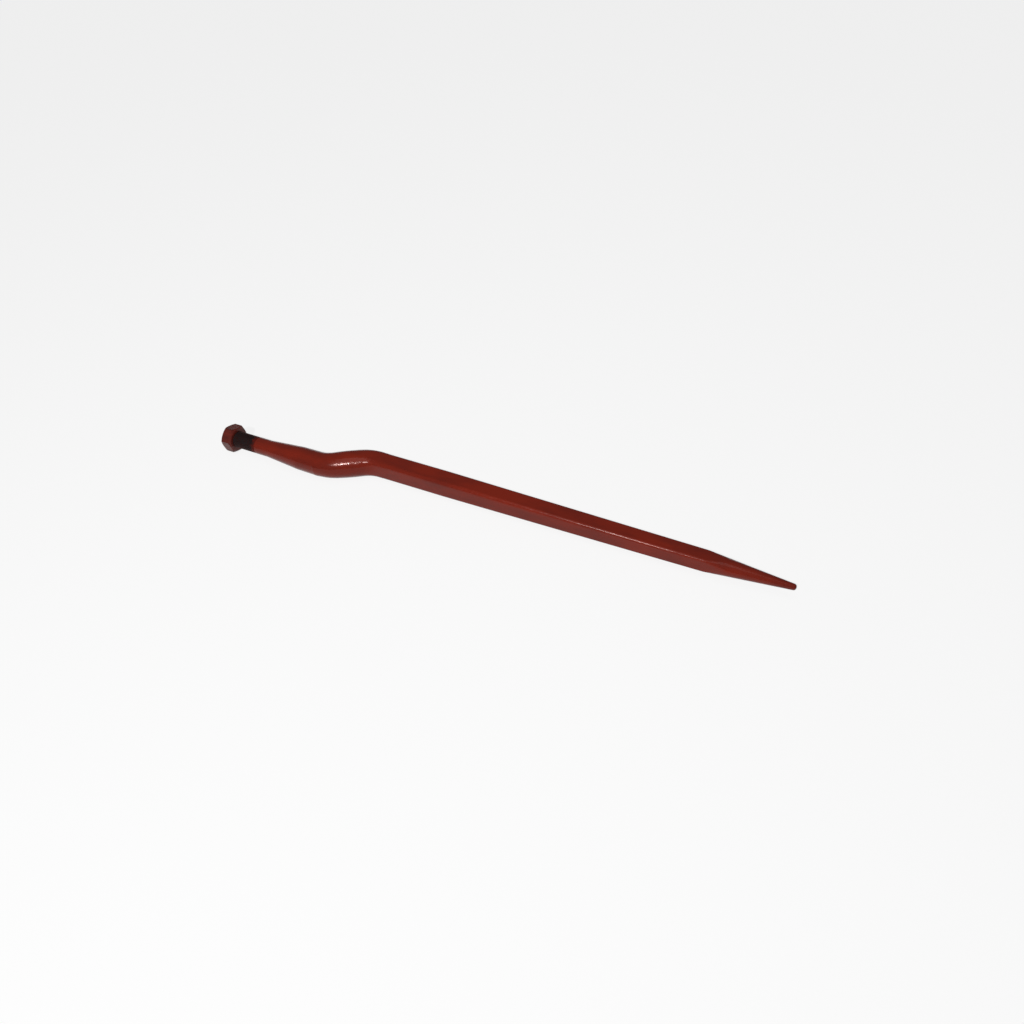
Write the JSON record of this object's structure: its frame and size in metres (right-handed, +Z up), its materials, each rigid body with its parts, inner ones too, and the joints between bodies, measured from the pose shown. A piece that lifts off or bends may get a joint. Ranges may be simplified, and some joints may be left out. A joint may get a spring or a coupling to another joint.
{
  "type": "bale spear",
  "caption": "Cranked forged spear for lifting round bales: threaded stud and tapered seat held by a hexagon nut, square bar and long conical point.",
  "frame": {"origin": "on the axis of the tapered seat, at the seat's large end", "axes": "+X along the seat axis towards the point; +Y is the side the crank steps to, so the bar's centre line is 36.5 mm along +Y; +Z up, with the crank lying flat"},
  "size_m": [0.934, 0.0767, 0.0464],
  "materials": {
    "spear_paint": "gloss dark red paint on forged steel",
    "nut_paint": "gloss dark red paint over a steel nut"
  },
  "bodies": {
    "root": {"spear": "spear_paint", "nut": "nut_paint"}
  },
  "joints": []
}
